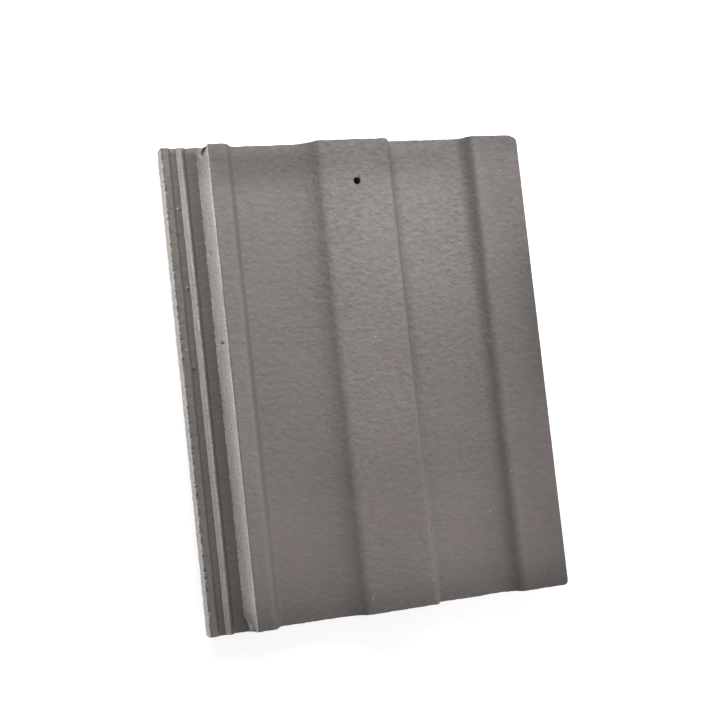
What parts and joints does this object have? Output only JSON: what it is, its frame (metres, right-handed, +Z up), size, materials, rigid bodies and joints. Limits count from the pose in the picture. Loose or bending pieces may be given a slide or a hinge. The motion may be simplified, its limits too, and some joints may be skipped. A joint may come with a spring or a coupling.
{
  "type": "concrete roof tile",
  "caption": "Interlocking concrete roof tile with low flat-topped rolls, hollowed pans, a ribbed side underlock, a matching overlock, a nail hole, hanging nibs and weather bars.",
  "frame": {"origin": "centre of the bounding box in plan, at the level of the nib and bar feet that the tile lies on", "axes": "+Z up, out of the weather face; +Y up the roof slope, from tail to head; +X across the tile, from the underlock to the overlock"},
  "size_m": [0.33, 0.413, 0.037],
  "materials": {
    "concrete": "matte fine-grained grey concrete, through-coloured"
  },
  "bodies": {
    "root": {"roof_tile": "concrete"}
  },
  "joints": []
}
